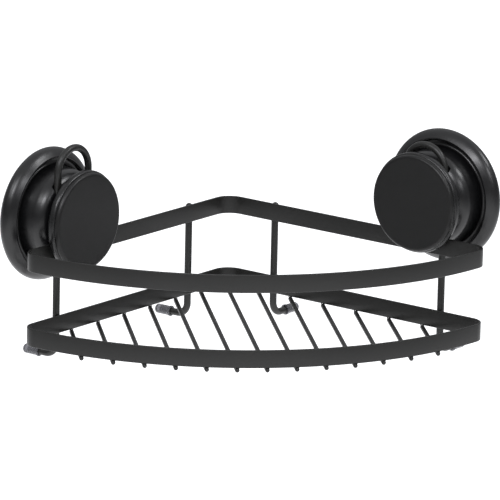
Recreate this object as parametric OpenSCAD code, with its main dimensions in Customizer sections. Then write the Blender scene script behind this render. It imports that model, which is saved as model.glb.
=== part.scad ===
// Corner shower basket that hangs on two twist-lock suction cups, one on each wall of a room's corner.
// Units are millimetres. The origin is the rearmost point of the lower band, level with the basket's
// floor: +Z is up, -Y points into the room, and the walls stand at 45 degrees to the X axis. They meet
// corner_gap behind the origin.
// Each side is drawn for the right wall and mirrored: along the wall is +X, into the wall is +Y.

/* [Basket] */
// Length of each straight side, measured to the sharp corners
side_len = 219; // [190:1:240]
// Radius of the bowed front
front_r = 213; // [190:1:260]
// Radius of the bend at the back corner
corner_r = 12; // [6:1:18]
// Radius of the two front ends
end_r = 12; // [6:1:18]
// Height of each flat band
band_h = 12; // [8:1:16]
// Thickness of the flat bands
band_t = 1.5; // [1:0.1:2]
// Height of the top band's lower edge above the floor
top_band_z = 50; // [40:1:60]
// Gap between the wall and the bands
wall_gap = 29.5; // [29.5:0.5:34]

/* [Floor wires] */
// Number of floor wires, an odd number
wire_count = 13; // [7:2:13]
// Spacing of the floor wires
wire_pitch = 19.5; // [16:0.5:20]
// Diameter of the floor wires
wire_d = 3; // [2:0.1:4]

/* [Uprights and hangers] */
// Diameter of the uprights and hanger wires
rod_d = 4.8; // [4:0.1:5]
// Distance of the rear uprights from the sharp back corner
rear_rod_pos = 39; // [30:1:60]
// Distance of the front uprights from the sharp back corner
front_rod_pos = 178.5; // [165:0.5:185]
// Centreline radius of the arch at the top of a hanger
arch_r = 15.6; // [15.2:0.1:16]
// Height of the arch's centre above the floor
arch_z = 106; // [104:1:110]
// Centreline radius of the bend under each upright
foot_bend_r = 8; // [6:1:10]
// Diameter of the soft caps that rest on the wall
cap_d = 7.2; // [6.5:0.1:8]
// Length of the soft caps
cap_len = 13; // [10:1:14]

/* [Suction cups] */
// Height of the left cup's axis at rest, on its lower stop
left_cup_z = 74; // [74:0.1:76]
// Height of the right cup's axis at rest, on its upper stop
right_cup_z = 84.2; // [82:0.1:84.2]
// Outer radius of the housing's rim
rim_r = 44.5; // [42:0.5:48]
// Radius of the knob
knob_r = 33.7; // [30:0.1:36]
// Radius of the pull stud
stud_r = 4; // [3:0.1:4.5]

/* [Hidden] */
$fn = 96;
// gap between a shaft and its bore, and between parts that move past each other
shaft_fit = 0.06;
move_gap = 0.3;
root2 = sqrt(2);

// the walls meet at corner_gap, and the bands' sharp back corner would be at corner_y
corner_y = corner_r * (root2 - 1);
corner_gap = wall_gap * root2 + corner_y;
// centre of the bowed front, in plan
front_centre_y = corner_y - side_len / root2 + sqrt(front_r * front_r - side_len * side_len / 2);

rod_r = rod_d / 2;
rod_depth = wall_gap - rod_r;
foot_z = -7.5;
rod_top_z = top_band_z + band_h + 0.3;
cap_r = cap_d / 2;
cap_wall_gap = 0.8;
cap_overlap = 9;

cup_pos = wall_gap + front_rod_pos - arch_r;

// heights of the cup's parts above the wall, along the cup's axis
rim_tube_r = 5;
crest_r = 38.8;
crest_front = 12;
crest_round_r = 1;
valley_front = 7.5;
hub_r = 32;
hub_round_r = 10;
hub_flare = 1.4;
hub_front = wall_gap - 0.5;
slot_floor = rod_depth - rod_r - move_gap;
neck_r = 11.7;
neck_front = 32;
guide_r = 9.5;
guide_back = 12.3;
key_w = 10;
key_back = 8.5;
key_len = 5;
head_r = 8;
head_back = 5;
head_t = 2.5;
pad_r = 42;
pad_boss_r = 10.5;
pad_boss_front = 9;
stud_front = 36;
washer_r = 11;
washer_t = 0.8;
knob_hub_back = neck_front + washer_t + move_gap;
knob_back = 33.5;
knob_lip_front = 38.6;
knob_front = 41.5;
knob_wall = 2;
insert_r = 8;
insert_front = 39.4;
cap_disc_back = 39.6;

wire_ids = [for (i = [1:wire_count]) str("floor_wire_", i < 10 ? "0" : "", i)];

coat = [0.16, 0.16, 0.155];
gloss = [0.1, 0.1, 0.11];

function arc(cx, cy, r, from, to, steps) =
    [for (i = [0:steps]) let (a = from + (to - from) * i / steps) [cx + r * cos(a), cy + r * sin(a)]];
function bend(p, q, s, steps) =
    [for (i = [0:steps]) let (t = i / steps) p * (1 - t) * (1 - t) + q * 2 * t * (1 - t) + s * t * t];

// puts a right-wall shape on the left or the right wall
module on_wall(side) {
    mirror([side == "left" ? 1 : 0, 0, 0])
        translate([0, corner_gap, 0]) rotate([0, 0, -45]) children();
}

// turns a shape drawn along +Z, from the wall into the room, onto a cup's axis
module on_cup(side) {
    on_wall(side)
        translate([cup_pos, 0, side == "left" ? left_cup_z : right_cup_z])
            rotate([90, 0, 0]) children();
}

// ---- bands: straight sides, a bent back corner, round ends and a bowed front

// centre of the right end's curve, for an outline set in by inset
function end_centre(inset) =
    let (
        r = max(end_r - inset, 1),
        base = [-(inset + r) / root2, corner_y - (inset + r) / root2],
        along = [1 / root2, -1 / root2],
        to_base = base - [0, front_centre_y],
        b = to_base * along,
        c = to_base * to_base - pow(front_r - inset - r, 2)
    ) base + along * (sqrt(b * b - c) - b);

// closed outline in plan: back bend, right end, bowed front, left end
module outline(inset) {
    r = max(end_r - inset, 1);
    back_r = corner_r - inset;
    back_y = corner_y - (inset + back_r) * root2;
    end_c = end_centre(inset);
    reach = end_c - [0, front_centre_y];
    front_a = atan2(reach[1], reach[0]);
    polygon(concat(
        arc(0, back_y, back_r, 135, 45, 12),
        arc(end_c[0], end_c[1], r, 45, front_a, 16),
        arc(0, front_centre_y, front_r - inset, front_a, -180 - front_a, 60),
        arc(-end_c[0], end_c[1], r, -180 - front_a, -225, 16)
    ));
}

module band(z) {
    color(coat) translate([0, 0, z]) linear_extrude(band_h) difference() {
        outline(0);
        outline(band_t);
    }
}
module top_band() { band(top_band_z); }
module bottom_band() { band(0); }

// ---- floor wires: under the bottom band, with round front ends that show past it
module floor_wire(i) {
    r = wire_d / 2;
    x = (i - (wire_count + 1) / 2) * wire_pitch;
    back_y = corner_y - max(abs(x) + band_t, corner_r * (root2 - 1) + band_t / 2);
    front_y = front_centre_y - sqrt(front_r * front_r - x * x) + r / 2;
    color(coat) translate([x, 0, -r]) {
        translate([0, back_y, 0]) rotate([90, 0, 0]) cylinder(r = r, h = back_y - front_y);
        translate([0, front_y, 0]) sphere(r);
    }
}

// ---- uprights and hangers: round rods on the wall side of the bands
module rod_foot() {
    reach = rod_depth - foot_bend_r - cap_wall_gap - cap_len + cap_overlap;
    translate([0, foot_bend_r, foot_z]) {
        rotate([90, 0, 90]) rotate([0, 0, 180])
            rotate_extrude(angle = 90) translate([foot_bend_r, 0]) circle(rod_r);
        translate([0, 0, -foot_bend_r]) rotate([-90, 0, 0]) cylinder(r = rod_r, h = reach);
    }
}

module upright(side) {
    color(coat) on_wall(side) translate([wall_gap + rear_rod_pos, -rod_depth, 0]) {
        translate([0, 0, foot_z]) cylinder(r = rod_r, h = rod_top_z - foot_z);
        rod_foot();
    }
}

module hanger_wire(side) {
    short_leg_z = top_band_z + 1;
    color(coat) on_wall(side) translate([cup_pos, -rod_depth, 0]) {
        translate([arch_r, 0, foot_z]) cylinder(r = rod_r, h = arch_z - foot_z);
        translate([-arch_r, 0, short_leg_z]) cylinder(r = rod_r, h = arch_z - short_leg_z);
        translate([0, 0, arch_z]) rotate([90, 0, 0])
            rotate_extrude(angle = 180) translate([arch_r, 0]) circle(rod_r);
        translate([arch_r, 0, 0]) rod_foot();
    }
}

// soft cap pushed on a rod's end; drawn from its mouth at 0 to its round end
module cap_shape() {
    round_r = 1.6;
    bead_r = 0.35;
    bore_r = rod_r + shaft_fit / 2;
    difference() {
        rotate_extrude() polygon(concat(
            [[0, 0], [cap_r - 0.4, 0], [cap_r, 0.4], [cap_r, 1.2], [cap_r - bead_r, 1.7]],
            [[cap_r - bead_r, cap_len - round_r]],
            arc(cap_r - bead_r - round_r, cap_len - round_r, round_r, 15, 90, 5),
            [[0, cap_len]]
        ));
        translate([0, 0, -1]) cylinder(r = bore_r, h = cap_overlap + 1);
    }
}

module wall_cap(side, pos) {
    color([0.75, 0.76, 0.8, 0.5]) on_wall(side)
        translate([pos, -cap_wall_gap - cap_len, foot_z - foot_bend_r])
            rotate([-90, 0, 0]) cap_shape();
}
rear_cap_pos = wall_gap + rear_rod_pos;
front_cap_pos = cup_pos + arch_r;

// ---- suction cups, drawn from the wall into the room along +Z

// the hollow that lets the hanger's legs and arch pass the front of the hub
module hanger_slot() {
    out = arch_r + rod_r + 2 * move_gap;
    in = arch_r - rod_r - move_gap;
    saddle_z = arch_z - right_cup_z;
    translate([0, 0, slot_floor]) linear_extrude(hub_front) difference() {
        translate([-out, -50]) square([2 * out, 100]);
        translate([-in, -60]) square([2 * in, 60 + saddle_z]);
        translate([0, saddle_z]) circle(in);
    }
}

// a rounded rim with a crest on its inner side, a groove, and a hub that rises from the groove
module housing_shell() {
    wall = 2;
    valley_back = valley_front - wall;
    hub_inner_front = slot_floor - wall;
    rim_c = rim_r - rim_tube_r;
    crest_c = [crest_r, crest_front - crest_round_r];
    hub_c = [hub_r - hub_round_r, hub_front - hub_round_r];
    groove_out = crest_r - crest_round_r;
    groove_in = hub_r + hub_flare;
    foot_round = 2;
    rim_edge = arc(rim_c, rim_tube_r, rim_tube_r, -50, 20, 8);
    crest_edge = arc(crest_c[0], crest_c[1], crest_round_r, 45, 180, 6);
    slope_start = rim_edge[8];
    slope = bend(slope_start, slope_start + [-0.6, 2.3], crest_edge[0], 6);
    rotate_extrude() polygon(concat(
        rim_edge,
        [for (i = [1:5]) slope[i]],
        crest_edge,
        bend([groove_out, valley_front + 1.4], [groove_out, valley_front],
            [groove_out - 1.4, valley_front], 4),
        bend([groove_in + foot_round, valley_front], [groove_in, valley_front],
            [groove_in - 0.3, valley_front + foot_round], 4),
        arc(hub_c[0], hub_c[1], hub_round_r, 0, 90, 14),
        [[guide_r - 1, hub_front], [guide_r - 1, hub_inner_front], [hub_r - 2 * wall, hub_inner_front]],
        [[hub_r - wall, hub_c[1]], [groove_in - wall, valley_back], [groove_out + wall, valley_back]],
        [[crest_r + 1, crest_c[1] - 1], [rim_r - wall - 0.5, rim_tube_r + 1]],
        [[rim_edge[0][0] - wall, rim_edge[0][1]]]
    ));
}

module housing(side) {
    socket_front = guide_back + key_len;
    color(gloss) on_cup(side) difference() {
        union() {
            housing_shell();
            translate([0, 0, guide_back]) cylinder(r = guide_r, h = hub_front - guide_back);
            translate([0, 0, hub_front - 1]) cylinder(r = neck_r, h = neck_front - hub_front + 1);
        }
        translate([0, 0, socket_front - 1]) cylinder(r = stud_r + shaft_fit, h = neck_front);
        socket_w = key_w + 2 * move_gap;
        translate([-socket_w / 2, -socket_w / 2, guide_back - 1]) cube([socket_w, socket_w, key_len + 1]);
        hanger_slot();
    }
}

module suction_pad(side) {
    color([0.2, 0.2, 0.21]) on_cup(side) difference() {
        rotate_extrude() polygon(concat(
            [[0, 2.4]],
            bend([10, 2.3], [26, 1.8], [38, 0], 8),
            [[pad_r, 0], [pad_r, 0.8], [38, 1.6]],
            bend([36, 2], [24, 4.4], [pad_boss_r + 1.5, 5.6], 8),
            [[pad_boss_r, 6.6], [pad_boss_r, pad_boss_front], [0, pad_boss_front]]
        ));
        translate([0, 0, head_back - shaft_fit]) cylinder(r = head_r + shaft_fit, h = head_t + 2 * shaft_fit);
        hole_w = key_w + 2 * shaft_fit;
        translate([-hole_w / 2, -hole_w / 2, head_back + 1]) cube([hole_w, hole_w, pad_boss_front]);
    }
}

module pull_stud(side) {
    head_front = head_back + head_t;
    key_front = key_back + key_len;
    color([0.75, 0.75, 0.76]) on_cup(side) {
        translate([0, 0, head_back]) cylinder(r = head_r, h = head_t);
        translate([-key_w / 2, -key_w / 2, head_front]) cube([key_w, key_w, key_front - head_front]);
        translate([0, 0, key_front]) cylinder(r = stud_r, h = stud_front - key_front);
    }
}

module thrust_washer(side) {
    color([0.85, 0.85, 0.82]) on_cup(side) translate([0, 0, neck_front]) difference() {
        cylinder(r = washer_r, h = washer_t);
        translate([0, 0, -1]) cylinder(r = stud_r + 1, h = washer_t + 2);
    }
}

module thread_insert(side) {
    color([0.72, 0.58, 0.3]) on_cup(side) translate([0, 0, knob_hub_back]) difference() {
        cylinder(r = insert_r, h = insert_front - knob_hub_back);
        translate([0, 0, -1]) cylinder(r = stud_r + shaft_fit, h = insert_front);
    }
}

module knob_body(side) {
    lip_r = 1.8;
    hub_wall_r = insert_r + 3;
    web_back = knob_lip_front - knob_wall;
    web_front = knob_lip_front + 0.9;
    color(gloss) on_cup(side) rotate_extrude() polygon(concat(
        [[insert_r, knob_hub_back], [hub_wall_r, knob_hub_back], [hub_wall_r, web_back]],
        [[knob_r - 3, web_back], [knob_r - 3, knob_back], [knob_r - 0.9, knob_back]],
        [[knob_r, knob_back + 1.5]],
        arc(knob_r - lip_r, knob_lip_front - lip_r, lip_r, 0, 90, 6),
        [[knob_r - 2.4, knob_lip_front], [knob_r - 2.4, web_front], [insert_r, web_front]]
    ));
}

module knob_cap(side) {
    round_r = 2.2;
    cap_disc_r = knob_r - 1.2;
    rim_in = knob_r - 2.35;
    color([0.2, 0.2, 0.2]) on_cup(side) rotate_extrude() polygon(concat(
        [[0, cap_disc_back], [rim_in, cap_disc_back], [rim_in, knob_lip_front + 0.05]],
        [[cap_disc_r - 0.2, knob_lip_front + 0.05]],
        arc(cap_disc_r - round_r, knob_front - round_r, round_r, 0, 90, 8),
        [[0, knob_front]]
    ));
}

top_band();
bottom_band();
for (i = [1:wire_count]) floor_wire(i);
upright("left");  // upright_left
upright("right");  // upright_right
hanger_wire("left");  // hanger_wire_left
hanger_wire("right");  // hanger_wire_right
wall_cap("left", rear_cap_pos);  // wall_cap_rear_left
wall_cap("right", rear_cap_pos);  // wall_cap_rear_right
wall_cap("left", front_cap_pos);  // wall_cap_front_left
wall_cap("right", front_cap_pos);  // wall_cap_front_right
housing("left");  // housing_left
housing("right");  // housing_right
suction_pad("left");  // suction_pad_left
suction_pad("right");  // suction_pad_right
pull_stud("left");  // pull_stud_left
pull_stud("right");  // pull_stud_right
thrust_washer("left");  // thrust_washer_left
thrust_washer("right");  // thrust_washer_right
thread_insert("left");  // thread_insert_left
thread_insert("right");  // thread_insert_right
knob_body("left");  // knob_body_left
knob_body("right");  // knob_body_right
knob_cap("left");  // knob_cap_left
knob_cap("right");  // knob_cap_right
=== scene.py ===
import math

import bmesh
import bpy
from mathutils import Matrix, Vector


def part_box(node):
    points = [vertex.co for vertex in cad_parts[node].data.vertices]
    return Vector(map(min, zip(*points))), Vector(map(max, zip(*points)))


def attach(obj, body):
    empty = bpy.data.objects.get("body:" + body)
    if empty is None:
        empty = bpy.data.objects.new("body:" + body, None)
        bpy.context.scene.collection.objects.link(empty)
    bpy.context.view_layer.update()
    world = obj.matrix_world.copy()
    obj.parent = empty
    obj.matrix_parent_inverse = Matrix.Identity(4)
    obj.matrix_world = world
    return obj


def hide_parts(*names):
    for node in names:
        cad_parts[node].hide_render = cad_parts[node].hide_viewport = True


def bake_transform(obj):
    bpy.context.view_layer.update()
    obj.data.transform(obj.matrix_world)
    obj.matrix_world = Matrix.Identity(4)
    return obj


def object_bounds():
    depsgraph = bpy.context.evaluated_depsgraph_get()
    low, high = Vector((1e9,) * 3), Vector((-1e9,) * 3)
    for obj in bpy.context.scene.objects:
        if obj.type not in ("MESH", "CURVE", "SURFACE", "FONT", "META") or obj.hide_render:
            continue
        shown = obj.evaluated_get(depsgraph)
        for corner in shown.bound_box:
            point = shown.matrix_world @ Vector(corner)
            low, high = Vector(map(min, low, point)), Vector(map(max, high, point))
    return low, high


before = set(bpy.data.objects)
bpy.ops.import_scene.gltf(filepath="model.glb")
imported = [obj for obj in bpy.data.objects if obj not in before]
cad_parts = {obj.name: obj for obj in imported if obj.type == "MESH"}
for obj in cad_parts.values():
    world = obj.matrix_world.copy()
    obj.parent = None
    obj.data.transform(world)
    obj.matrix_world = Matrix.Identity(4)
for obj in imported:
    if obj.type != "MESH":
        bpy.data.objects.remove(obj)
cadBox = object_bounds()
print("frame loaded with", len(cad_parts), "parts")

mm = 0.001
root2 = math.sqrt(2)
sides = ("left", "right")

# camera, floor and light

shot = {
    "aim": (0.0048, -0.1276, 0.0443),  # from the corner of the walls
    "turn": 7.539,  # degrees that the lens looks to the right of straight in
    "drop": 14.161,  # degrees that it looks down
    "roll": 1.248,
    "distance": 3.82,
    "lens": 413.4,
    "sensor": 36.0,
}

studio = {
    "skyLow": 0.3,  # strength near the horizon, up to skyStart
    "skyHigh": 0.95,  # strength overhead, from skyEnd
    "skyStart": 0.15,
    "skyEnd": 0.8,
    "skyColour": (0.96, 0.97, 1.0),
    "floorDrop": 0.45,  # the floor lies this far under the lowest wire
    "floorSize": 24.0,
    "floorGlow": 0.62,
    "stripInner": 0.9,  # the floor glows fully this far to either side, and not past the outer line
    "stripOuter": 1.8,
    "floorColour": (0.86, 0.86, 0.86),
    "floorRoughness": 0.9,
    "lampAim": (0, -0.12, 0.05),  # from the corner of the walls
}

# compass turn from straight in front (+ to the right), height angle, distance,
# width, height, radiance, colour
softBoxes = {
    "keyLeft": (-22, 42, 2.4, 0.95, 0.6, 15.0, (0.96, 0.96, 1.0)),
    "keyRight": (32, 33, 2.4, 0.75, 0.5, 9.0, (0.96, 0.96, 1.0)),
    "sideRight": (78, 47, 2.4, 0.75, 0.6, 12.0, (0.97, 0.98, 1.0)),
    "sideLeft": (-58, 42, 2.4, 0.9, 0.6, 6.0, (0.97, 0.98, 1.0)),
}


def addCamera():
    turn, drop, roll = (math.radians(shot[k]) for k in ("turn", "drop", "roll"))
    level = math.cos(drop)
    forward = Vector((math.sin(turn) * level, math.cos(turn) * level, -math.sin(drop)))
    across = Vector((math.cos(turn), -math.sin(turn), 0))
    above = across.cross(forward)
    rolledAcross = across * math.cos(roll) + above * math.sin(roll)
    rolledAbove = above * math.cos(roll) - across * math.sin(roll)
    data = bpy.data.cameras.new("productCamera")
    data.lens = shot["lens"]
    data.sensor_width = shot["sensor"]
    data.clip_start = 0.05
    data.clip_end = 100
    camera = bpy.data.objects.new("productCamera", data)
    bpy.context.scene.collection.objects.link(camera)
    facing = Matrix((rolledAcross, rolledAbove, -forward)).transposed()
    place = corner + Vector(shot["aim"]) - forward * shot["distance"]
    camera.matrix_world = Matrix.Translation(place) @ facing.to_4x4()
    bpy.context.scene.camera = camera


def addStudio():
    scene = bpy.context.scene
    scene.view_settings.view_transform = "Standard"
    world = bpy.data.worlds.new("paleRoom")
    scene.world = world
    world.use_nodes = True
    tree = world.node_tree
    background = tree.nodes["Background"]
    background.inputs["Color"].default_value = (*studio["skyColour"], 1)
    whole = tree.nodes.new("ShaderNodeTexCoord").outputs["Generated"]
    direction = put(tree, "ShaderNodeSeparateXYZ", {0: whole})
    heights = (studio["skyStart"], studio["skyEnd"])
    glow = spread(tree, direction.outputs["Z"], heights, (studio["skyLow"], studio["skyHigh"]))
    tree.links.new(glow, background.inputs["Strength"])
    centre = corner + Vector(studio["lampAim"])
    for name, (compass, rise, away, width, height, radiance, colour) in softBoxes.items():
        compass, rise = math.radians(compass), math.radians(rise)
        level = math.cos(rise)
        way = Vector((math.sin(compass) * level, -math.cos(compass) * level, math.sin(rise)))
        lamp = bpy.data.lights.new(name, "AREA")
        lamp.shape = "RECTANGLE"
        lamp.size = width
        lamp.size_y = height
        lamp.energy = radiance * math.pi * width * height
        lamp.color = colour
        box = bpy.data.objects.new(name, lamp)
        scene.collection.objects.link(box)
        facing = way.to_track_quat("Z", "Y").to_matrix().to_4x4()
        box.matrix_world = Matrix.Translation(centre + way * away) @ facing


# shader groups and finishes


def put(tree, kind, inputs=None, **settings):
    node = tree.nodes.new(kind)
    for key, value in settings.items():
        setattr(node, key, value)
    for key, value in (inputs or {}).items():
        if isinstance(value, bpy.types.NodeSocket):
            tree.links.new(value, node.inputs[key])
        else:
            node.inputs[key].default_value = value
    return node


def calc(tree, operation, *values):
    node = put(tree, "ShaderNodeMath", dict(enumerate(values)), operation=operation)
    return node.outputs[0]


def spread(tree, value, source, target=(0.0, 1.0), **settings):
    # carries a value from one range of numbers to another
    ranges = {"From Min": source[0], "From Max": source[1], "To Min": target[0], "To Max": target[1]}
    return put(tree, "ShaderNodeMapRange", {"Value": value, **ranges}, **settings).outputs["Result"]


def speckle(tree, point, scale, detail, **more):
    values = {"Vector": point, "Scale": scale, "Detail": detail, **more}
    return put(tree, "ShaderNodeTexNoise", values).outputs["Fac"]


def grey(tree, value):
    return put(tree, "ShaderNodeCombineColor", {0: value, 1: value, 2: value}).outputs[0]


def shaderGroup(name, inputs, outputs):
    tree = bpy.data.node_groups.new(name, "ShaderNodeTree")
    for label, value in inputs.items():
        kind = "NodeSocketVector" if value is None else "NodeSocketFloat"
        socket = tree.interface.new_socket(name=label, in_out="INPUT", socket_type=kind)
        if value is not None:
            socket.default_value = value
    for label in outputs:
        tree.interface.new_socket(name=label, in_out="OUTPUT", socket_type="NodeSocketFloat")
    return tree, tree.nodes.new("NodeGroupInput"), tree.nodes.new("NodeGroupOutput")


def makeGrain():
    # a fine orange-peel height, and a speckle that the roughness follows
    inputs = {"Point": None, "Scale": 900.0, "Pits": 0.3}
    tree, given, result = shaderGroup("coatingGrain", inputs, ("Height", "Speckle"))
    point, scale = given.outputs["Point"], given.outputs["Scale"]
    fine = speckle(tree, point, scale, 3.0)
    cellInputs = {"Vector": point, "Scale": calc(tree, "MULTIPLY", scale, 0.7)}
    cells = put(tree, "ShaderNodeTexVoronoi", cellInputs, feature="SMOOTH_F1").outputs["Distance"]
    pits = calc(tree, "MULTIPLY", cells, given.outputs["Pits"])
    tree.links.new(calc(tree, "ADD", fine, pits), result.inputs["Height"])
    tree.links.new(calc(tree, "SMOOTH_MIN", fine, cells, 0.2), result.inputs["Speckle"])
    return tree


def makeEdgeWear():
    # convex edges, broken up into patches
    inputs = {"Point": None, "Start": 0.53, "End": 0.6, "Broken": 0.6}
    tree, given, result = shaderGroup("edgeWear", inputs, ("Mask",))
    pointed = tree.nodes.new("ShaderNodeNewGeometry").outputs["Pointiness"]
    edge = spread(tree, pointed, (given.outputs["Start"], given.outputs["End"]))
    patches = speckle(tree, given.outputs["Point"], 160.0, 4.0)
    kept = calc(tree, "MULTIPLY", patches, given.outputs["Broken"])
    mask = calc(tree, "SUBTRACT", edge, kept)
    tree.links.new(calc(tree, "MAXIMUM", mask, 0.0), result.inputs["Mask"])
    return tree


def makeDrift():
    # slow lighter and darker clouds in the colour
    inputs = {"Point": None, "Scale": 14.0, "Low": 0.9, "High": 1.1}
    tree, given, result = shaderGroup("toneDrift", inputs, ("Tone",))
    cloud = speckle(tree, given.outputs["Point"], given.outputs["Scale"], 3.0)
    tone = spread(tree, cloud, (0.3, 0.7), (given.outputs["Low"], given.outputs["High"]))
    tree.links.new(tone, result.inputs["Tone"])
    return tree


def makeDust():
    # specks on whatever faces up
    inputs = {"Point": None, "Facing": None, "Amount": 0.3}
    tree, given, result = shaderGroup("settledDust", inputs, ("Mask",))
    parts = put(tree, "ShaderNodeSeparateXYZ", {"Vector": given.outputs["Facing"]})
    upward = spread(tree, parts.outputs["Z"], (0.35, 1.0))
    specks = speckle(tree, given.outputs["Point"], 420.0, 6.0, Roughness=0.7)
    mask = calc(tree, "MULTIPLY", upward, spread(tree, specks, (0.42, 0.75)))
    tree.links.new(calc(tree, "MULTIPLY", mask, given.outputs["Amount"]), result.inputs["Mask"])
    return tree


groups = {"grain": makeGrain(), "wear": makeEdgeWear(), "drift": makeDrift(), "dust": makeDust()}

dustColour = (0.5, 0.49, 0.47)
finishes = {
    "powderCoat": {
        "colour": (0.008, 0.008, 0.0074),
        "wornColour": (0.05, 0.05, 0.049),
        "roughness": (0.34, 0.46),
        "grainScale": 1500.0,
        "pits": 0.5,
        "depth": 0.00003,
        "drift": (16.0, 0.9, 1.12),
        "dust": 0.01,
        "specular": 0.34,
        "wear": 0.35,
    },
    "glossHousing": {
        "colour": (0.0022, 0.0022, 0.0025),
        "wornColour": (0.02, 0.02, 0.021),
        "roughness": (0.28, 0.36),
        "grainScale": 260.0,
        "pits": 0.1,
        "depth": 0.00003,
        "drift": (22.0, 0.85, 1.2),
        "dust": 0.006,
        "specular": 0.42,
        "wear": 0.1,
    },
    "glossKnob": {
        "colour": (0.0035, 0.0035, 0.0037),
        "wornColour": (0.02, 0.02, 0.02),
        "roughness": (0.26, 0.34),
        "grainScale": 500.0,
        "pits": 0.2,
        "depth": 0.00002,
        "drift": (24.0, 0.88, 1.15),
        "dust": 0.006,
        "specular": 0.38,
        "wear": 0.08,
    },
    "satinFace": {
        "colour": (0.005, 0.005, 0.0049),
        "wornColour": (0.03, 0.03, 0.03),
        "roughness": (0.34, 0.42),
        "grainScale": 2200.0,
        "pits": 0.6,
        "depth": 0.000012,
        "drift": (18.0, 0.9, 1.12),
        "dust": 0.006,
        "specular": 0.27,
        "wear": 0.25,
    },
    "darkVinyl": {
        "colour": (0.03, 0.03, 0.033),
        "wornColour": (0.06, 0.06, 0.064),
        "roughness": (0.28, 0.4),
        "grainScale": 300.0,
        "pits": 0.15,
        "depth": 0.00003,
        "drift": (20.0, 0.85, 1.2),
        "dust": 0.1,
        "specular": 0.5,
        "wear": 0.1,
    },
    "zincSteel": {
        "colour": (0.62, 0.62, 0.63),
        "wornColour": (0.8, 0.8, 0.8),
        "roughness": (0.24, 0.42),
        "grainScale": 1200.0,
        "pits": 0.3,
        "depth": 0.00001,
        "drift": (60.0, 0.85, 1.1),
        "dust": 0.0,
        "specular": 0.5,
        "wear": 0.3,
        "metallic": 1.0,
    },
    "turnedBrass": {
        "colour": (0.72, 0.5, 0.22),
        "wornColour": (0.85, 0.66, 0.35),
        "roughness": (0.2, 0.36),
        "grainScale": 1400.0,
        "pits": 0.3,
        "depth": 0.00001,
        "drift": (60.0, 0.8, 1.1),
        "dust": 0.0,
        "specular": 0.5,
        "wear": 0.3,
        "metallic": 1.0,
    },
    "milkyNylon": {
        "colour": (0.78, 0.77, 0.72),
        "wornColour": (0.86, 0.86, 0.83),
        "roughness": (0.35, 0.5),
        "grainScale": 700.0,
        "pits": 0.3,
        "depth": 0.00001,
        "drift": (40.0, 0.94, 1.04),
        "dust": 0.0,
        "specular": 0.45,
        "wear": 0.2,
    },
}


def groupNode(tree, key, inputs):
    return put(tree, "ShaderNodeGroup", inputs, node_tree=groups[key])


def colourMix(tree, factor, first, second, blend="MIX"):
    node = put(tree, "ShaderNodeMix", {0: factor}, data_type="RGBA", blend_type=blend)
    for slot, value in ((6, first), (7, second)):
        if isinstance(value, bpy.types.NodeSocket):
            tree.links.new(value, node.inputs[slot])
        else:
            node.inputs[slot].default_value = (*value, 1)
    return node.outputs[2]


def newMaterial(name):
    material = bpy.data.materials.new(name)
    material.use_nodes = True
    tree = material.node_tree
    return material, tree, tree.nodes["Principled BSDF"], tree.nodes.new("ShaderNodeTexCoord").outputs


def driftedColour(tree, point, colour, scale, low, high):
    drift = groupNode(tree, "drift", {"Point": point, "Scale": scale, "Low": low, "High": high})
    return colourMix(tree, 1.0, colour, grey(tree, drift.outputs["Tone"]), "MULTIPLY")


def grainSurface(tree, shader, point, look):
    # fine roughness and bump from the coating's grain
    grain = groupNode(tree, "grain", {"Point": point, "Scale": look["grainScale"], "Pits": look["pits"]})
    sheen = spread(tree, grain.outputs["Speckle"], (0.25, 0.75), look["roughness"])
    tree.links.new(sheen, shader.inputs["Roughness"])
    height = grain.outputs["Height"]
    bump = put(tree, "ShaderNodeBump", {"Strength": 1.0, "Distance": look["depth"], "Height": height})
    tree.links.new(bump.outputs["Normal"], shader.inputs["Normal"])


def makeFinish(name):
    look = finishes[name]
    material, tree, shader, where = newMaterial(name)
    point = where["Object"]
    wear = groupNode(tree, "wear", {"Point": point})
    dustInputs = {"Point": point, "Facing": where["Normal"], "Amount": look["dust"]}
    dust = groupNode(tree, "dust", dustInputs)
    base = driftedColour(tree, point, look["colour"], *look["drift"])
    wearAmount = calc(tree, "MULTIPLY", wear.outputs["Mask"], look["wear"])
    worn = colourMix(tree, wearAmount, base, look["wornColour"])
    dusty = colourMix(tree, dust.outputs["Mask"], worn, dustColour)
    tree.links.new(dusty, shader.inputs["Base Color"])
    grainSurface(tree, shader, point, look)
    shader.inputs["Metallic"].default_value = look.get("metallic", 0.0)
    shader.inputs["Specular IOR Level"].default_value = look["specular"]
    return material


clearCapLook = {
    "colour": (0.2, 0.2, 0.215),
    "drift": (120.0, 0.9, 1.0),
    "roughness": (0.22, 0.36),
    "ior": 1.3,
    "through": 0.65,
    "grainScale": 500.0,
    "pits": 0.2,
    "depth": 0.000004,
}


def makeClearCap():
    look = clearCapLook
    material, tree, shader, where = newMaterial("clearVinyl")
    point = where["Object"]
    base = driftedColour(tree, point, look["colour"], *look["drift"])
    tree.links.new(base, shader.inputs["Base Color"])
    grainSurface(tree, shader, point, look)
    shader.inputs["Transmission Weight"].default_value = look["through"]
    shader.inputs["IOR"].default_value = look["ior"]
    return material


def makeFloorFinish():
    material, tree, shader, where = newMaterial("paleFloor")
    point = where["Object"]
    base = driftedColour(tree, point, studio["floorColour"], 0.6, 0.98, 1.0)
    tree.links.new(base, shader.inputs["Base Color"])
    shader.inputs["Roughness"].default_value = studio["floorRoughness"]
    # a strip of floor in line with the object glows, and the rest fades to plain
    parts = put(tree, "ShaderNodeSeparateXYZ", {0: point})
    aside = calc(tree, "ABSOLUTE", parts.outputs["X"])
    lines = (studio["stripInner"], studio["stripOuter"])
    strip = spread(tree, aside, lines, (1.0, 0.0), interpolation_type="SMOOTHSTEP")
    tree.links.new(grey(tree, strip), shader.inputs["Emission Color"])
    shader.inputs["Emission Strength"].default_value = studio["floorGlow"]
    return material


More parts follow.
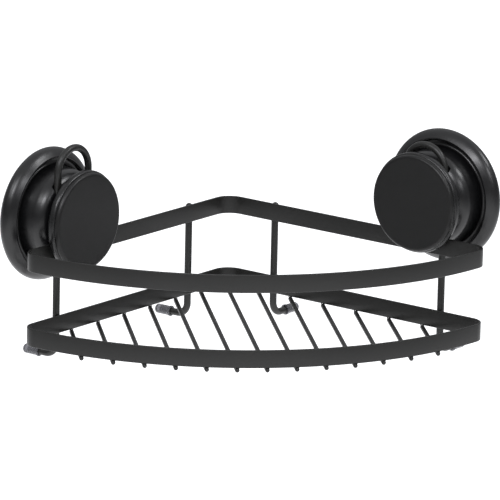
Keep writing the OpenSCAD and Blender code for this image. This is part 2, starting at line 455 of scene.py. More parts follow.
materials = {name: makeFinish(name) for name in finishes}
materials["clearVinyl"] = makeClearCap()
print("finishes made:", ", ".join(materials))

# places on the walls

wallGap = 29.5 * mm  # from either wall to the bands
backBend = 12 * mm  # radius of the bands' bend at the back
# the upright line where the two walls would meet
corner = Vector((0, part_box("bottom_band")[1].y + wallGap * root2 + backBend * (root2 - 1), 0))


def axes(side):
    hand = 1 if side == "right" else -1
    along = Vector((hand, -1, 0)) / root2
    out = Vector((-hand, -1, 0)) / root2
    return along, out


def onWall(side, alongWall, outward, height):
    along, out = axes(side)
    return corner + along * alongWall + out * outward + Vector((0, 0, height))


def turned(side, origin, towardWall=False):
    # a matrix that turns a shape made round +Z so that its axis points out of the wall, or into it
    out = axes(side)[1] * (-1 if towardWall else 1)
    up = Vector((0, 0, 1))
    across = up.cross(out)
    return Matrix.Translation(origin) @ Matrix((across, up, out)).transposed().to_4x4()


def cupPlace(side):
    # the point on the wall where a cup's axis meets it
    low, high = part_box("knob_cap_" + side)
    centre = (low + high) / 2
    along = axes(side)[0]
    return corner + along * (centre - corner).dot(along) + Vector((0, 0, centre.z))


# mesh helpers


def arc(centreR, centreH, radius, start, end, steps):
    points = []
    for i in range(steps + 1):
        a = math.radians(start + (end - start) * i / steps)
        points.append((centreR + radius * math.cos(a), centreH + radius * math.sin(a)))
    return points


cornerSteps = 5
flatKeep = 0.3  # how far beside a rounded corner its guard points lie, in corner radii


def rounded(corners):
    # corners are (r, h, radius): each turns into an arc, with a point close beside it
    # that keeps the flats flat
    points = []
    count = len(corners)
    for i, (r, h, radius) in enumerate(corners):
        here = Vector((r, h))
        if radius <= 0:
            points.append((r, h))
            continue
        before = (Vector(corners[i - 1][:2]) - here).normalized()
        after = (Vector(corners[(i + 1) % count][:2]) - here).normalized()
        half = before.angle(after) / 2
        reach = radius / math.tan(half)
        centre = here + (before + after).normalized() * (radius / math.sin(half))
        first, last = here + before * reach, here + after * reach
        points.append(tuple(first + before * radius * flatKeep))
        startArm, endArm = first - centre, last - centre
        sweep = startArm.angle_signed(endArm)
        for step in range(cornerSteps + 1):
            turn = Matrix.Rotation(-sweep * step / cornerSteps, 2)
            points.append(tuple(centre + turn @ startArm))
        points.append(tuple(last + after * radius * flatKeep))
    return points


def revolve(profile, segments, closed=True):
    # spins (r, h) points round +Z; points on the axis become one pole
    bm = bmesh.new()
    rings = []
    step = 2 * math.pi / segments
    for r, h in profile:
        spots = [(r * math.cos(i * step), r * math.sin(i * step), h) for i in range(segments)]
        if r < 1e-7:
            spots = [(0, 0, h)]
        rings.append([bm.verts.new(spot) for spot in spots])
    pairs = list(zip(rings, rings[1:]))
    if closed:
        pairs.append((rings[-1], rings[0]))
    for first, second in pairs:
        for i in range(segments):
            j = (i + 1) % segments
            ring = [first[i % len(first)], first[j % len(first)]]
            ring += [second[j % len(second)], second[i % len(second)]]
            unique = list(dict.fromkeys(ring))
            if len(unique) > 2:
                bm.faces.new(unique)
    return bm


def smoothShade(mesh, sharp):
    mesh.shade_smooth()
    mesh.set_sharp_from_angle(angle=math.radians(sharp))


def finishMesh(bm, name, material, matrix):
    bmesh.ops.transform(bm, matrix=matrix, verts=bm.verts)
    bmesh.ops.remove_doubles(bm, verts=bm.verts, dist=2e-6)
    bmesh.ops.recalc_face_normals(bm, faces=bm.faces)
    mesh = bpy.data.meshes.new(name)
    bm.to_mesh(mesh)
    bm.free()
    smoothShade(mesh, 38)
    piece = bpy.data.objects.new(name, mesh)
    bpy.context.scene.collection.objects.link(piece)
    piece.data.materials.append(materials[material])
    return piece


def cut(piece, cutter):
    change = piece.modifiers.new("cut", "BOOLEAN")
    change.operation = "DIFFERENCE"
    change.solver = "EXACT"
    change.object = cutter
    graph = bpy.context.evaluated_depsgraph_get()
    result = bpy.data.meshes.new_from_object(piece.evaluated_get(graph))
    piece.modifiers.clear()
    piece.data = result
    bpy.data.objects.remove(cutter)


def settle(piece, body, slot, *nodes):
    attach(piece, body)
    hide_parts(*nodes)


# geometry node trees


def newTree(name, inputs):
    tree = bpy.data.node_groups.new(name, "GeometryNodeTree")
    tree.interface.new_socket(name="Geometry", in_out="INPUT", socket_type="NodeSocketGeometry")
    kinds = {"float": "NodeSocketFloat", "int": "NodeSocketInt", "material": "NodeSocketMaterial"}
    for label, kind in inputs.items():
        tree.interface.new_socket(name=label, in_out="INPUT", socket_type=kinds[kind])
    tree.interface.new_socket(name="Geometry", in_out="OUTPUT", socket_type="NodeSocketGeometry")
    return tree, tree.nodes.new("NodeGroupInput").outputs, tree.nodes.new("NodeGroupOutput")


def closeTree(tree, given, result, geometry):
    smooth = put(tree, "GeometryNodeSetShadeSmooth", {"Geometry": geometry})
    real = put(tree, "GeometryNodeRealizeInstances", {"Geometry": smooth.outputs[0]})
    paint = {"Geometry": real.outputs[0], "Material": given["Material"]}
    painted = put(tree, "GeometryNodeSetMaterial", paint)
    tree.links.new(painted.outputs[0], result.inputs[0])


def clampedShare(tree, value, whole):
    # value over whole, kept between 0 and 1
    node = put(tree, "ShaderNodeMath", {0: value, 1: whole}, operation="DIVIDE", use_clamp=True)
    return node.outputs[0]


def sweep(tree, path, radius, sides, size):
    # a capped round bar along the path, scaled by size on the way
    circle = {"Resolution": sides, "Radius": radius}
    ring = put(tree, "GeometryNodeCurvePrimitiveCircle", circle).outputs[0]
    bar = {"Curve": path, "Profile Curve": ring, "Scale": size, "Fill Caps": True}
    return put(tree, "GeometryNodeCurveToMesh", bar).outputs[0]


def makeRodTree():
    # a round bar along each path, domed at both ends
    inputs = {"Radius": "float", "Sides": "int", "Material": "material"}
    tree, given, result = newTree("bentRod", inputs)
    path = put(tree, "GeometryNodeMeshToCurve", {"Mesh": given["Geometry"]})
    along = tree.nodes.new("GeometryNodeSplineParameter").outputs["Length"]
    whole = tree.nodes.new("GeometryNodeSplineLength").outputs["Length"]
    fromEnd = calc(tree, "MINIMUM", along, calc(tree, "SUBTRACT", whole, along))
    share = clampedShare(tree, fromEnd, given["Radius"])
    dome = calc(tree, "SQRT", calc(tree, "MULTIPLY", share, calc(tree, "SUBTRACT", 2.0, share)))
    size = calc(tree, "MAXIMUM", dome, 0.15)
    bar = sweep(tree, path.outputs[0], given["Radius"], given["Sides"], size)
    closeTree(tree, given, result, bar)
    return tree


def makeBandTree():
    # flat bar stood on edge along a closed path
    inputs = {"Height": "float", "Thickness": "float", "Edge Radius": "float"}
    tree, given, result = newTree("flatBand", {**inputs, "Material": "material"})
    path = put(tree, "GeometryNodeMeshToCurve", {"Mesh": given["Geometry"]})
    level = put(tree, "GeometryNodeSetCurveNormal", {"Curve": path.outputs[0]}, mode="Z_UP")
    sectionSize = {"Width": given["Thickness"], "Height": given["Height"]}
    section = put(tree, "GeometryNodeCurvePrimitiveQuadrilateral", sectionSize).outputs[0]
    easing = {"Curve": section, "Count": 5, "Radius": given["Edge Radius"], "Limit Radius": True}
    eased = put(tree, "GeometryNodeFilletCurve", easing, mode="POLY").outputs[0]
    barInputs = {"Curve": level.outputs[0], "Profile Curve": eased}
    bar = put(tree, "GeometryNodeCurveToMesh", barInputs)
    closeTree(tree, given, result, bar.outputs[0])
    return tree


straightSteps, noseSteps = 6, 5  # points along a floor wire, and round its nose


def makeFloorTree():
    # straight wires side by side, each as long as the outline is deep where it lies
    tree, given, result = newTree(
        "floorWires",
        {
            "Count": "int",
            "Pitch": "float",
            "Radius": "float",
            "Sides": "int",
            "Corner Y": "float",
            "Band Thickness": "float",
            "Back Reach": "float",
            "Front Radius": "float",
            "Front Centre Y": "float",
            "Material": "material",
        },
    )
    radius = given["Radius"]
    row = {"Count": given["Count"], "Start Location": (0, 0, 0), "Offset": (1, 0, 0)}
    spots = put(tree, "GeometryNodeMeshLine", row).outputs[0]
    order = tree.nodes.new("GeometryNodeInputIndex").outputs[0]
    lastHalf = calc(tree, "DIVIDE", calc(tree, "SUBTRACT", given["Count"], 1.0), 2.0)
    across = calc(tree, "MULTIPLY", calc(tree, "SUBTRACT", order, lastHalf), given["Pitch"])
    note = {"Geometry": spots, "Name": "across", "Value": across}
    kinds = {"data_type": "FLOAT", "domain": "POINT"}
    marked = put(tree, "GeometryNodeStoreNamedAttribute", note, **kinds).outputs[0]
    line = put(tree, "GeometryNodeCurvePrimitiveLine", {"Start": (0, 0, 0), "End": (0, 1, 0)})
    stepCount = straightSteps + noseSteps + 1
    steps = put(tree, "GeometryNodeResampleCurve", {"Curve": line.outputs[0], "Count": stepCount})
    copying = {"Points": marked, "Instance": steps.outputs[0]}
    copies = put(tree, "GeometryNodeInstanceOnPoints", copying).outputs[0]
    loose = put(tree, "GeometryNodeRealizeInstances", {"Geometry": copies}).outputs[0]
    recall = put(tree, "GeometryNodeInputNamedAttribute", {"Name": "across"}, data_type="FLOAT")
    x = recall.outputs["Attribute"]
    position = tree.nodes.new("GeometryNodeSplineParameter").outputs["Index"]
    straight = clampedShare(tree, position, straightSteps)
    nose = clampedShare(tree, calc(tree, "SUBTRACT", position, straightSteps), noseSteps)
    angle = calc(tree, "MULTIPLY", nose, math.pi / 2)
    underBand = calc(tree, "ADD", calc(tree, "ABSOLUTE", x), given["Band Thickness"])
    halfBand = calc(tree, "MAXIMUM", underBand, given["Back Reach"])
    backY = calc(tree, "SUBTRACT", given["Corner Y"], halfBand)
    square = calc(tree, "POWER", given["Front Radius"], 2.0)
    bow = calc(tree, "SQRT", calc(tree, "SUBTRACT", square, calc(tree, "MULTIPLY", x, x)))
    bandY = calc(tree, "SUBTRACT", given["Front Centre Y"], bow)
    frontY = calc(tree, "ADD", bandY, calc(tree, "MULTIPLY", radius, 0.5))
    run = calc(tree, "MULTIPLY", straight, calc(tree, "SUBTRACT", frontY, backY))
    noseRun = calc(tree, "MULTIPLY", radius, calc(tree, "SINE", angle))
    tipY = calc(tree, "SUBTRACT", calc(tree, "ADD", backY, run), noseRun)
    under = calc(tree, "MULTIPLY", radius, -1.0)
    place = put(tree, "ShaderNodeCombineXYZ", {"X": x, "Y": tipY, "Z": under}).outputs[0]
    laid = put(tree, "GeometryNodeSetPosition", {"Geometry": loose, "Position": place}).outputs[0]
    size = calc(tree, "MAXIMUM", calc(tree, "COSINE", angle), 0.12)
    closeTree(tree, given, result, sweep(tree, laid, radius, given["Sides"], size))
    return tree


def makeWeldTree():
    # a bead that swells and fades along each short path
    tree, given, result = newTree("weldBeads", {"Radius": "float", "Material": "material"})
    path = put(tree, "GeometryNodeMeshToCurve", {"Mesh": given["Geometry"]})
    place = tree.nodes.new("GeometryNodeSplineParameter").outputs["Factor"]
    swell = calc(tree, "SQRT", calc(tree, "SINE", calc(tree, "MULTIPLY", place, math.pi)))
    spot = tree.nodes.new("GeometryNodeInputPosition").outputs[0]
    lumps = speckle(tree, spot, 900.0, 1.0)
    lumpy = calc(tree, "ADD", 0.7, calc(tree, "MULTIPLY", lumps, 0.5))
    size = calc(tree, "MAXIMUM", calc(tree, "MULTIPLY", swell, lumpy), 0.1)
    closeTree(tree, given, result, sweep(tree, path.outputs[0], given["Radius"], 10, size))
    return tree


def pathObject(name, paths, closed=False):
    mesh = bpy.data.meshes.new(name)
    points, edges = [], []
    for path in paths:
        first = len(points)
        points += [tuple(p) for p in path]
        edges += [(first + i, first + i + 1) for i in range(len(path) - 1)]
        if closed:
            edges.append((len(points) - 1, first))
    mesh.from_pydata(points, edges, [])
    piece = bpy.data.objects.new(name, mesh)
    bpy.context.scene.collection.objects.link(piece)
    return piece


def growNodes(piece, tree, values):
    # runs the tree over the piece's paths and keeps the plain mesh that comes out
    change = piece.modifiers.new(tree.name, "NODES")
    change.node_group = tree
    for item in tree.interface.items_tree:
        if item.item_type == "SOCKET" and item.in_out == "INPUT" and item.name in values:
            change[item.identifier] = values[item.name]
    graph = bpy.context.evaluated_depsgraph_get()
    mesh = bpy.data.meshes.new_from_object(piece.evaluated_get(graph))
    piece.modifiers.clear()
    bm = bmesh.new()
    bm.from_mesh(mesh)
    bmesh.ops.remove_doubles(bm, verts=bm.verts, dist=1e-6)
    bmesh.ops.recalc_face_normals(bm, faces=bm.faces)
    bm.to_mesh(mesh)
    bm.free()
    if "across" in mesh.attributes:
        mesh.attributes.remove(mesh.attributes["across"])
    smoothShade(mesh, 40)
    piece.data = mesh


trees = {"rod": makeRodTree(), "band": makeBandTree()}
trees.update({"floor": makeFloorTree(), "weld": makeWeldTree()})
print("node trees made:", ", ".join(trees))

# basket

basket = {
    "sideLength": 219 * mm,
    "frontRadius": 213 * mm,
    "endBend": 12 * mm,
    "bandThickness": 1.5 * mm,
    "bandEdge": 0.5 * mm,
    "wireCount": 13,
    "wirePitch": 19.5 * mm,
    "wireThickness": 3.0 * mm,
}
basket["cornerY"] = corner.y - wallGap * root2
frontRise = math.sqrt(basket["frontRadius"] ** 2 - basket["sideLength"] ** 2 / 2)
basket["frontCentreY"] = basket["cornerY"] - basket["sideLength"] / root2 + frontRise


def outline(inset):
    # the closed plan of a band: back bend, right end, bowed front, left end
    endR = basket["endBend"] - inset
    backR = backBend - inset
    cornerY, centreY = basket["cornerY"], basket["frontCentreY"]
    start = Vector((-(inset + endR) / root2, cornerY - (inset + endR) / root2))
    slope = Vector((1, -1)) / root2
    toStart = start - Vector((0, centreY))
    b = toStart.dot(slope)
    c = toStart.dot(toStart) - (basket["frontRadius"] - inset - endR) ** 2
    endC = start + slope * (math.sqrt(b * b - c) - b)
    reach = endC - Vector((0, centreY))
    frontA = math.degrees(math.atan2(reach.y, reach.x))
    points = arc(0, cornerY - (inset + backR) * root2, backR, 135, 45, 16)
    points += arc(endC.x, endC.y, endR, 45, frontA, 20)
    points += arc(0, centreY, basket["frontRadius"] - inset, frontA, -180 - frontA, 90)[1:-1]
    points += arc(-endC.x, endC.y, endR, -180 - frontA, -225, 20)
    return points


def buildBands():
    for node in ("top_band", "bottom_band"):
        low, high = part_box(node)
        plan = [(x, y, (low.z + high.z) / 2) for x, y in outline(basket["bandThickness"] / 2)]
        band = pathObject(node.replace("_", ""), [plan], closed=True)
        growNodes(
            band,
            trees["band"],
            {
                "Height": high.z - low.z,
                "Thickness": basket["bandThickness"],
                "Edge Radius": basket["bandEdge"],
                "Material": materials["powderCoat"],
            },
        )
        settle(band, "basket", "black_coating", node)


def buildFloorWires():
    wires = pathObject("floorWires", [[(0, 0, 0), (0, 0.01, 0)]])
    growNodes(
        wires,
        trees["floor"],
        {
            "Count": basket["wireCount"],
            "Pitch": basket["wirePitch"],
            "Radius": basket["wireThickness"] / 2,
            "Sides": 24,
            "Corner Y": basket["cornerY"],
            "Band Thickness": basket["bandThickness"],
            "Back Reach": backBend * (root2 - 1) + basket["bandThickness"] / 2,
            "Front Radius": basket["frontRadius"],
            "Front Centre Y": basket["frontCentreY"],
            "Material": materials["powderCoat"],
        },
    )
    names = [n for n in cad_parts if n.startswith("floor_wire_")]
    settle(wires, "basket", "black_coating", *names)


rods = {
    "thickness": 4.8 * mm,
    "outFromWall": 27.1 * mm,
    "rearPlace": 68.5 * mm,
    "frontPlace": 208.0 * mm,
    "archRadius": 15.6 * mm,
    "archHeight": 106 * mm,
    "shortLegFoot": 51 * mm,
    "uprightTop": 62.3 * mm,
    "footBend": 8 * mm,
    "footHeight": -15.5 * mm,
    "footReach": 4.8 * mm,
    "sides": 32,
}


def footPath(place):
    # from the end in the cap, out from the wall and up round the bend
    half = rods["thickness"] / 2
    bendOut = rods["outFromWall"] - rods["footBend"]
    bendUp = rods["footHeight"] + rods["footBend"]
    points = []
    for i in range(7):
        tip = half * (1 - math.cos(math.pi / 2 * i / 6))
        points.append((place, rods["footReach"] + tip, rods["footHeight"]))
    for i in range(13):
        a = math.pi / 2 * i / 12
        out, drop = rods["footBend"] * math.sin(a), rods["footBend"] * math.cos(a)
        points.append((place, bendOut + out, bendUp - drop))
    return points


def domedEnd(place, out, height, upward):
    half = rods["thickness"] / 2
    return [(place, out, height - upward * half * math.cos(math.pi / 2 * i / 6)) for i in range(7)]


def buildRods():
    out = rods["outFromWall"]
    for side in sides:
        upright = footPath(rods["rearPlace"])
        upright += domedEnd(rods["rearPlace"], out, rods["uprightTop"], 1)
        cupPos = rods["frontPlace"] - rods["archRadius"]
        hanger = footPath(rods["frontPlace"])
        for i in range(33):
            a = math.pi * i / 32
            aside, above = rods["archRadius"] * math.cos(a), rods["archRadius"] * math.sin(a)
            hanger.append((cupPos + aside, out, rods["archHeight"] + above))
        hanger += domedEnd(cupPos - rods["archRadius"], out, rods["shortLegFoot"], -1)
        pair = (("upright", "upright_", upright), ("hangerWire", "hanger_wire_", hanger))
        for name, node, path in pair:
            piece = pathObject(name + side.capitalize(), [[onWall(side, *p) for p in path]])
            values = {"Radius": rods["thickness"] / 2, "Sides": rods["sides"]}
            growNodes(piece, trees["rod"], {**values, "Material": materials["powderCoat"]})
            settle(piece, "basket", "black_coating", node + side)


welds = {
    "radius": 0.7 * mm,
    "length": 9 * mm,
    "beside": 1.55 * mm,  # from the rod's middle line
    "off": 0.28 * mm,  # from the band's outer face to the bead's middle line
    "wireBead": 2.6 * mm,
    "wireBeadRadius": 0.42 * mm,
    "wireBeside": 0.62,  # of a floor wire's radius
    "wireDrop": 0.22 * mm,
}


def buildWelds():
    paths = []
    cupPos = rods["frontPlace"] - rods["archRadius"]
    places = [(rods["rearPlace"], "both"), (rods["frontPlace"], "both")]
    places.append((cupPos - rods["archRadius"], "top"))
    for side in sides:
        for place, which in places:
            for node in ("top_band", "bottom_band"):
                if which == "top" and node == "bottom_band":
                    continue
                low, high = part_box(node)
                mid = (low.z + high.z) / 2
                for hand in (-1, 1):
                    beside = place + hand * welds["beside"]
                    foot = mid - welds["length"] / 2
                    heights = [foot + welds["length"] * i / 12 for i in range(13)]
                    out = wallGap - welds["off"]
                    paths.append([onWall(side, beside, out, h) for h in heights])
    weldSeams = pathObject("weldBeads", paths)
    values = {"Radius": welds["radius"], "Material": materials["powderCoat"]}
    growNodes(weldSeams, trees["weld"], values)
    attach(weldSeams, "basket")


def buildWireWelds():
    # where each floor wire meets the underside of the lower band, at its back and its front
    paths = []
    half = basket["wireThickness"] / 2
    lean = Vector((0, 1, 0)) * welds["wireBead"] / 2
    bendReach = backBend * (root2 - 1) + 0.8 * mm
    frontMiddle = basket["frontRadius"] - basket["bandThickness"] / 2
    for i in range(basket["wireCount"]):
        x = (i - (basket["wireCount"] - 1) / 2) * basket["wirePitch"]
        backY = basket["cornerY"] - max(abs(x) + basket["bandThickness"] * 0.75, bendReach)
        frontY = basket["frontCentreY"] - math.sqrt(frontMiddle**2 - x * x)
        for y in (backY, frontY):
            for hand in (-1, 1):
                spot = Vector((x + hand * half * welds["wireBeside"], y, -welds["wireDrop"]))
                paths.append([spot + lean * (t / 4 - 1) for t in range(9)])
    beads = pathObject("wireWelds", paths)
    values = {"Radius": welds["wireBeadRadius"], "Material": materials["powderCoat"]}
    growNodes(beads, trees["weld"], values)
    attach(beads, "basket")


buildBands()
buildFloorWires()
buildRods()
buildWelds()
buildWireWelds()
print("basket made")

# soft caps on the rods' feet

wallCap = {
    "radius": 3.6 * mm,
    "length": 13 * mm,
    "bore": 2.43 * mm,
    "boreDepth": 9 * mm,
    "wallGap": 0.8 * mm,
    "tip": 1.9 * mm,
    "lip": 0.45 * mm,
    "lipDepth": 1.9 * mm,
    "lipStep": 0.35 * mm,  # how far the lip stands out from the body
}


def buildCaps():
    r, depth, bore = wallCap["radius"], wallCap["length"], wallCap["bore"]
    body = r - wallCap["lipStep"]
    for side in sides:
        for place, label in ((rods["rearPlace"], "rear"), (rods["frontPlace"], "front")):
            profile = rounded(
                [
                    (bore, 0, 0.2 * mm),
                    (r, 0, wallCap["lip"]),
                    (r, 1.3 * mm, 0.3 * mm),
                    (body, wallCap["lipDepth"], 0.5 * mm),
                    (body, depth, wallCap["tip"]),
                    (0, depth, 0),
                    (0, wallCap["boreDepth"], 0),
                    (bore, wallCap["boreDepth"], 0.6 * mm),
                ]
            )
            start = onWall(side, place, wallCap["wallGap"] + depth, rods["footHeight"])
            name = "wallCap" + label.capitalize() + side.capitalize()
            matrix = turned(side, start, True)
            cap = finishMesh(revolve(profile, 48), name, "clearVinyl", matrix)
            settle(cap, "basket", "clear_rubber", "wall_cap_" + label + "_" + side)


buildCaps()
print("wall caps made")

# suction cups

housing = {
    "rimRadius": 44.5 * mm,
    "rimTube": 5.0 * mm,
    "crestRadius": 38.8 * mm,
    "crestHeight": 12.0 * mm,
    "crestRound": 1.0 * mm,
    "valley": 7.5 * mm,
    "valleyBack": 5.5 * mm,
    "hubRadius": 32.0 * mm,
    "hubRound": 10 * mm,
    "hubFlare": 1.4 * mm,
    "hubFront": 29.0 * mm,
    "wall": 2.0 * mm,
    "neckRadius": 11.7 * mm,
    "neckFront": 32.0 * mm,
    "guideRadius": 9.5 * mm,
    "guideBack": 12.3 * mm,
    "studHole": 4.06 * mm,
    "socket": 5.3 * mm,
    "socketDepth": 5.0 * mm,
    "slotOut": 18.6 * mm,
    "slotIn": 12.9 * mm,
    "slotFloor": 24.4 * mm,
    "saddle": 21.8 * mm,
    "slotLength": 50 * mm,  # past the hub, both up and down
    "slotHeight": 8 * mm,
}


def bezier(p, q, s, steps):
    points = []
    for i in range(steps + 1):
        t = i / steps
        first, second, third = (1 - t) ** 2, 2 * t * (1 - t), t * t
        points.append(tuple(p[k] * first + q[k] * second + s[k] * third for k in range(2)))
    return points


def housingProfile():
    h = housing
    wall, valley, crestRound = h["wall"], h["valley"], h["crestRound"]
    crestR, crestH = h["crestRadius"], h["crestHeight"] - crestRound
    hubR, hubH = h["hubRadius"] - h["hubRound"], h["hubFront"] - h["hubRound"]
    rimC = h["rimRadius"] - h["rimTube"]
    # outside, from the rim's edge over the crest, through the groove and up the hub
    points = arc(rimC, h["rimTube"], h["rimTube"], -50, 20, 12)
    start, end = points[-1], arc(crestR, crestH, crestRound, 45, 45, 1)[0]
    bulge = (start[0] - 0.6 * mm, start[1] + 2.3 * mm)
    points += bezier(start, bulge, end, 8)[1:-1]
    points += arc(crestR, crestH, crestRound, 45, 180, 12)
    valleyR = crestR - crestRound
    bend = 1.4 * mm
    points += bezier((valleyR, valley + bend), (valleyR, valley), (valleyR - bend, valley), 5)
    flankFoot = h["hubRadius"] + h["hubFlare"]
    foot = 2.2 * mm
    upFlank = (flankFoot - 0.3 * mm, valley + foot)
    points += bezier((flankFoot + foot, valley), (flankFoot, valley), upFlank, 6)
    points += arc(hubR, hubH, h["hubRound"], -2, 90, 34)
    points.append((h["neckRadius"] + 1.6 * mm, h["hubFront"]))
    points += arc(h["neckRadius"] + 0.8 * mm, h["hubFront"] + 0.8 * mm, 0.8 * mm, 270, 180, 6)
    points += arc(h["neckRadius"] - 0.5 * mm, h["neckFront"] - 0.5 * mm, 0.5 * mm, 0, 90, 4)
    # inside, down the stud's hole and its square socket and back out under the shell
    hole, ease = h["studHole"], 0.3 * mm
    points += [(hole + ease, h["neckFront"]), (hole, h["neckFront"] - ease)]
    socketTop = h["guideBack"] + h["socketDepth"]
    points += [(hole, socketTop), (h["socket"], socketTop)]
    points += [(h["socket"], h["guideBack"]), (h["guideRadius"], h["guideBack"])]
    ceiling = h["slotFloor"] - wall
    points += [(h["guideRadius"], ceiling), (hubR, ceiling)]
    points += [(h["hubRadius"] - wall, hubH), (flankFoot - wall, h["valleyBack"])]
    points += [(valleyR + wall, h["valleyBack"]), (crestR + 1 * mm, crestH - 1 * mm)]
    points += [(h["rimRadius"] - wall - 0.5 * mm, h["rimTube"] + 1 * mm)]
    points += [(points[0][0] - wall, points[0][1])]
    return points


def slotCutter(matrix):
    # the hollow that the hanger's two legs and its arch run in
    h = housing
    outer, inner, rise = h["slotOut"], h["slotIn"], h["saddle"]
    foot, top = -h["slotLength"], h["slotLength"]
    plan = [(-outer, foot), (-outer, top), (outer, top), (outer, foot)]
    plan += [(inner, foot), (inner, rise)]
    plan += arc(0, rise, inner, 0, 180, 24)[1:-1]
    plan += [(-inner, rise), (-inner, foot)]
    bm = bmesh.new()
    back = [bm.verts.new((x, y, h["slotFloor"])) for x, y in plan]
    front = [bm.verts.new((x, y, h["slotFloor"] + h["slotHeight"])) for x, y in plan]
    bm.faces.new(back)
    bm.faces.new(front)
    for i in range(len(plan)):
        j = (i + 1) % len(plan)
        bm.faces.new((back[i], back[j], front[j], front[i]))
    return finishMesh(bm, "slotCutter", "glossHousing", matrix)


pad = {
    "radius": 42 * mm,
    "boss": 10.5 * mm,
    "bossFront": 9 * mm,
    "headRoom": 8.06 * mm,
    "headBack": 4.94 * mm,
    "headFront": 7.6 * mm,
    "keyHalf": 5.06 * mm,
    "ribCount": 3,
    "ribFirst": 40.6 * mm,
    "ribPitch": 1.1 * mm,
    "ribClimb": 0.22 * mm,
    "pullStart": 0.0012,  # the real pad follows the stud more and more between these distances from the wall
    "pullEnd": 0.0056,  # from the wall
}


def buildPad(side, matrix):
    p = pad
    profile = bezier((0.0, 2.4 * mm), (22 * mm, 2.3 * mm), (38 * mm, 0.15 * mm), 16)
    profile += [(38.5 * mm, 0.0), (41.4 * mm, 0.0)]
    profile += [(p["radius"], 0.3 * mm), (p["radius"] - 0.2 * mm, 0.8 * mm)]
    for i in range(p["ribCount"]):  # fine sealing ribs near the lip
        r, climb = p["ribFirst"] - i * p["ribPitch"], i * p["ribClimb"]
        profile += [(r, 0.95 * mm + climb), (r - 0.35 * mm, 1.2 * mm + climb)]
        profile += [(r - 0.7 * mm, 1.0 * mm + climb)]
    profile += bezier((36.6 * mm, 1.75 * mm), (22 * mm, 4.6 * mm), (p["boss"] + 2 * mm, 5.5 * mm), 12)
    profile += arc(p["boss"] + 1.4 * mm, 6.9 * mm, 1.4 * mm, 270, 180, 5)
    profile += arc(p["boss"] - 0.6 * mm, p["bossFront"] - 0.6 * mm, 0.6 * mm, 0, 90, 4)
    key, bossFront = p["keyHalf"], p["bossFront"]
    profile += [(key + 0.5 * mm, bossFront), (key, bossFront - 0.5 * mm), (key, p["headFront"])]
    profile += [(p["headRoom"], p["headFront"]), (p["headRoom"], p["headBack"])]
    profile.append((0.0, p["headBack"]))
    name = "suctionPad" + side.capitalize()
    piece = finishMesh(revolve(profile, 120, closed=False), name, "darkVinyl", matrix)
    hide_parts("suction_pad_" + side)
    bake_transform(piece)


def buildCups():
    for side in sides:
        matrix = turned(side, cupPlace(side))
        name = "housing" + side.capitalize()
        shell = finishMesh(revolve(housingProfile(), 180), name, "glossHousing", matrix)
        cut(shell, slotCutter(matrix))
        smoothShade(shell.data, 34)
        settle(shell, "cup_" + side, "gloss_black", "housing_" + side)
        buildPad(side, matrix)


buildCups()
print("suction cups made")

# knobs

knob = {
    "radius": 33.7 * mm,
    "back": 33.5 * mm,
    "lipFront": 38.6 * mm,
    "lipRound": 1.8 * mm,
    "front": 41.5 * mm,
    "faceRadius": 32.5 * mm,
    "faceRound": 2.2 * mm,
    "hubBack": 33.1 * mm,
    "hubRadius": 11 * mm,
    "insertRadius": 8 * mm,
    "wall": 2.0 * mm,
    "skirt": 3 * mm,  # thickness of the wall round the edge
    "faceBack": 39.6 * mm,
}


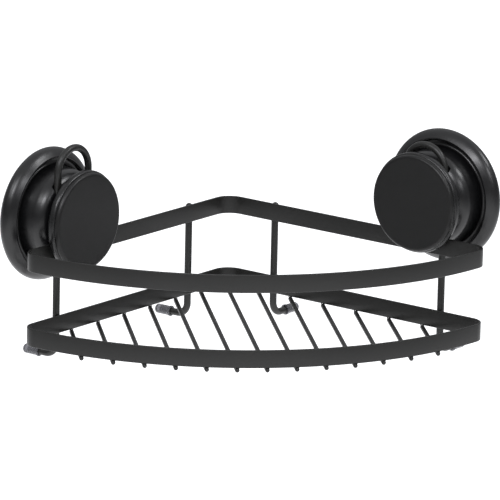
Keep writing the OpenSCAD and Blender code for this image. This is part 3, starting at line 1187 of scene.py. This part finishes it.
def knobBodyProfile():
    k = knob
    webBack, webFront = k["lipFront"] - k["wall"], k["lipFront"] + 0.9 * mm
    return rounded(
        [
            (k["insertRadius"], k["hubBack"], 0.2 * mm),
            (k["hubRadius"], k["hubBack"], 0.4 * mm),
            (k["hubRadius"], webBack, 0.8 * mm),
            (k["radius"] - k["skirt"], webBack, 0.8 * mm),
            (k["radius"] - k["skirt"], k["back"], 0.5 * mm),
            (k["radius"] - 0.9 * mm, k["back"], 0.4 * mm),
            (k["radius"], k["back"] + 1.5 * mm, 0.6 * mm),
            (k["radius"], k["lipFront"], k["lipRound"]),
            (k["radius"] - 2.3 * mm, k["lipFront"], 0.0),
            (k["radius"] - 2.4 * mm, webFront, 0.1 * mm),
            (k["insertRadius"], webFront, 0.1 * mm),
        ]
    )


def knobCapProfile():
    k = knob
    back, rimIn, r, bend = k["faceBack"], k["radius"] - 2.35 * mm, k["faceRadius"], k["faceRound"]
    onLip = k["lipFront"] + 0.05 * mm
    points = [(0, back), (rimIn, back), (rimIn, onLip)]
    points += [(r - 0.2 * mm, onLip), (r, k["lipFront"] + 0.25 * mm)]
    points += arc(r - bend, k["front"] - bend, bend, 0, 90, 12)
    points += [(r - bend - 0.8 * mm, k["front"])]
    points += [(r * share, k["front"]) for share in (0.8, 0.6, 0.4, 0.2)]
    points.append((0, k["front"]))
    return points


def buildKnobs():
    for side in sides:
        matrix = turned(side, cupPlace(side))
        name = side.capitalize()
        body = finishMesh(revolve(knobBodyProfile(), 180), "knobBody" + name, "glossKnob", matrix)
        settle(body, "knob_" + side, "gloss_black", "knob_body_" + side)
        disc = revolve(knobCapProfile(), 180, closed=False)
        face = finishMesh(disc, "knobFace" + name, "satinFace", matrix)
        settle(face, "knob_" + side, "satin_black", "knob_cap_" + side)


buildKnobs()
print("knobs made")

# the small parts that keep their CAD shape

keptParts = {
    "pull_stud_": "zincSteel",
    "thrust_washer_": "milkyNylon",
    "thread_insert_": "turnedBrass",
}
for start, finish in keptParts.items():
    for side in sides:
        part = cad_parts[start + side]
        part.data.materials.clear()
        part.data.materials.append(materials[finish])

# floor, light and camera


def addFloor():
    half = studio["floorSize"] / 2
    level = cadBox[0].z - studio["floorDrop"]
    mesh = bpy.data.meshes.new("paleFloor")
    plan = ((-half, -half), (half, -half), (half, half), (-half, half))
    mesh.from_pydata([(x, y, level) for x, y in plan], [], [(0, 1, 2, 3)])
    floor = bpy.data.objects.new("paleFloor", mesh)
    bpy.context.scene.collection.objects.link(floor)
    floor.data.materials.append(makeFloorFinish())


addFloor()
addStudio()
addCamera()
print("studio made")
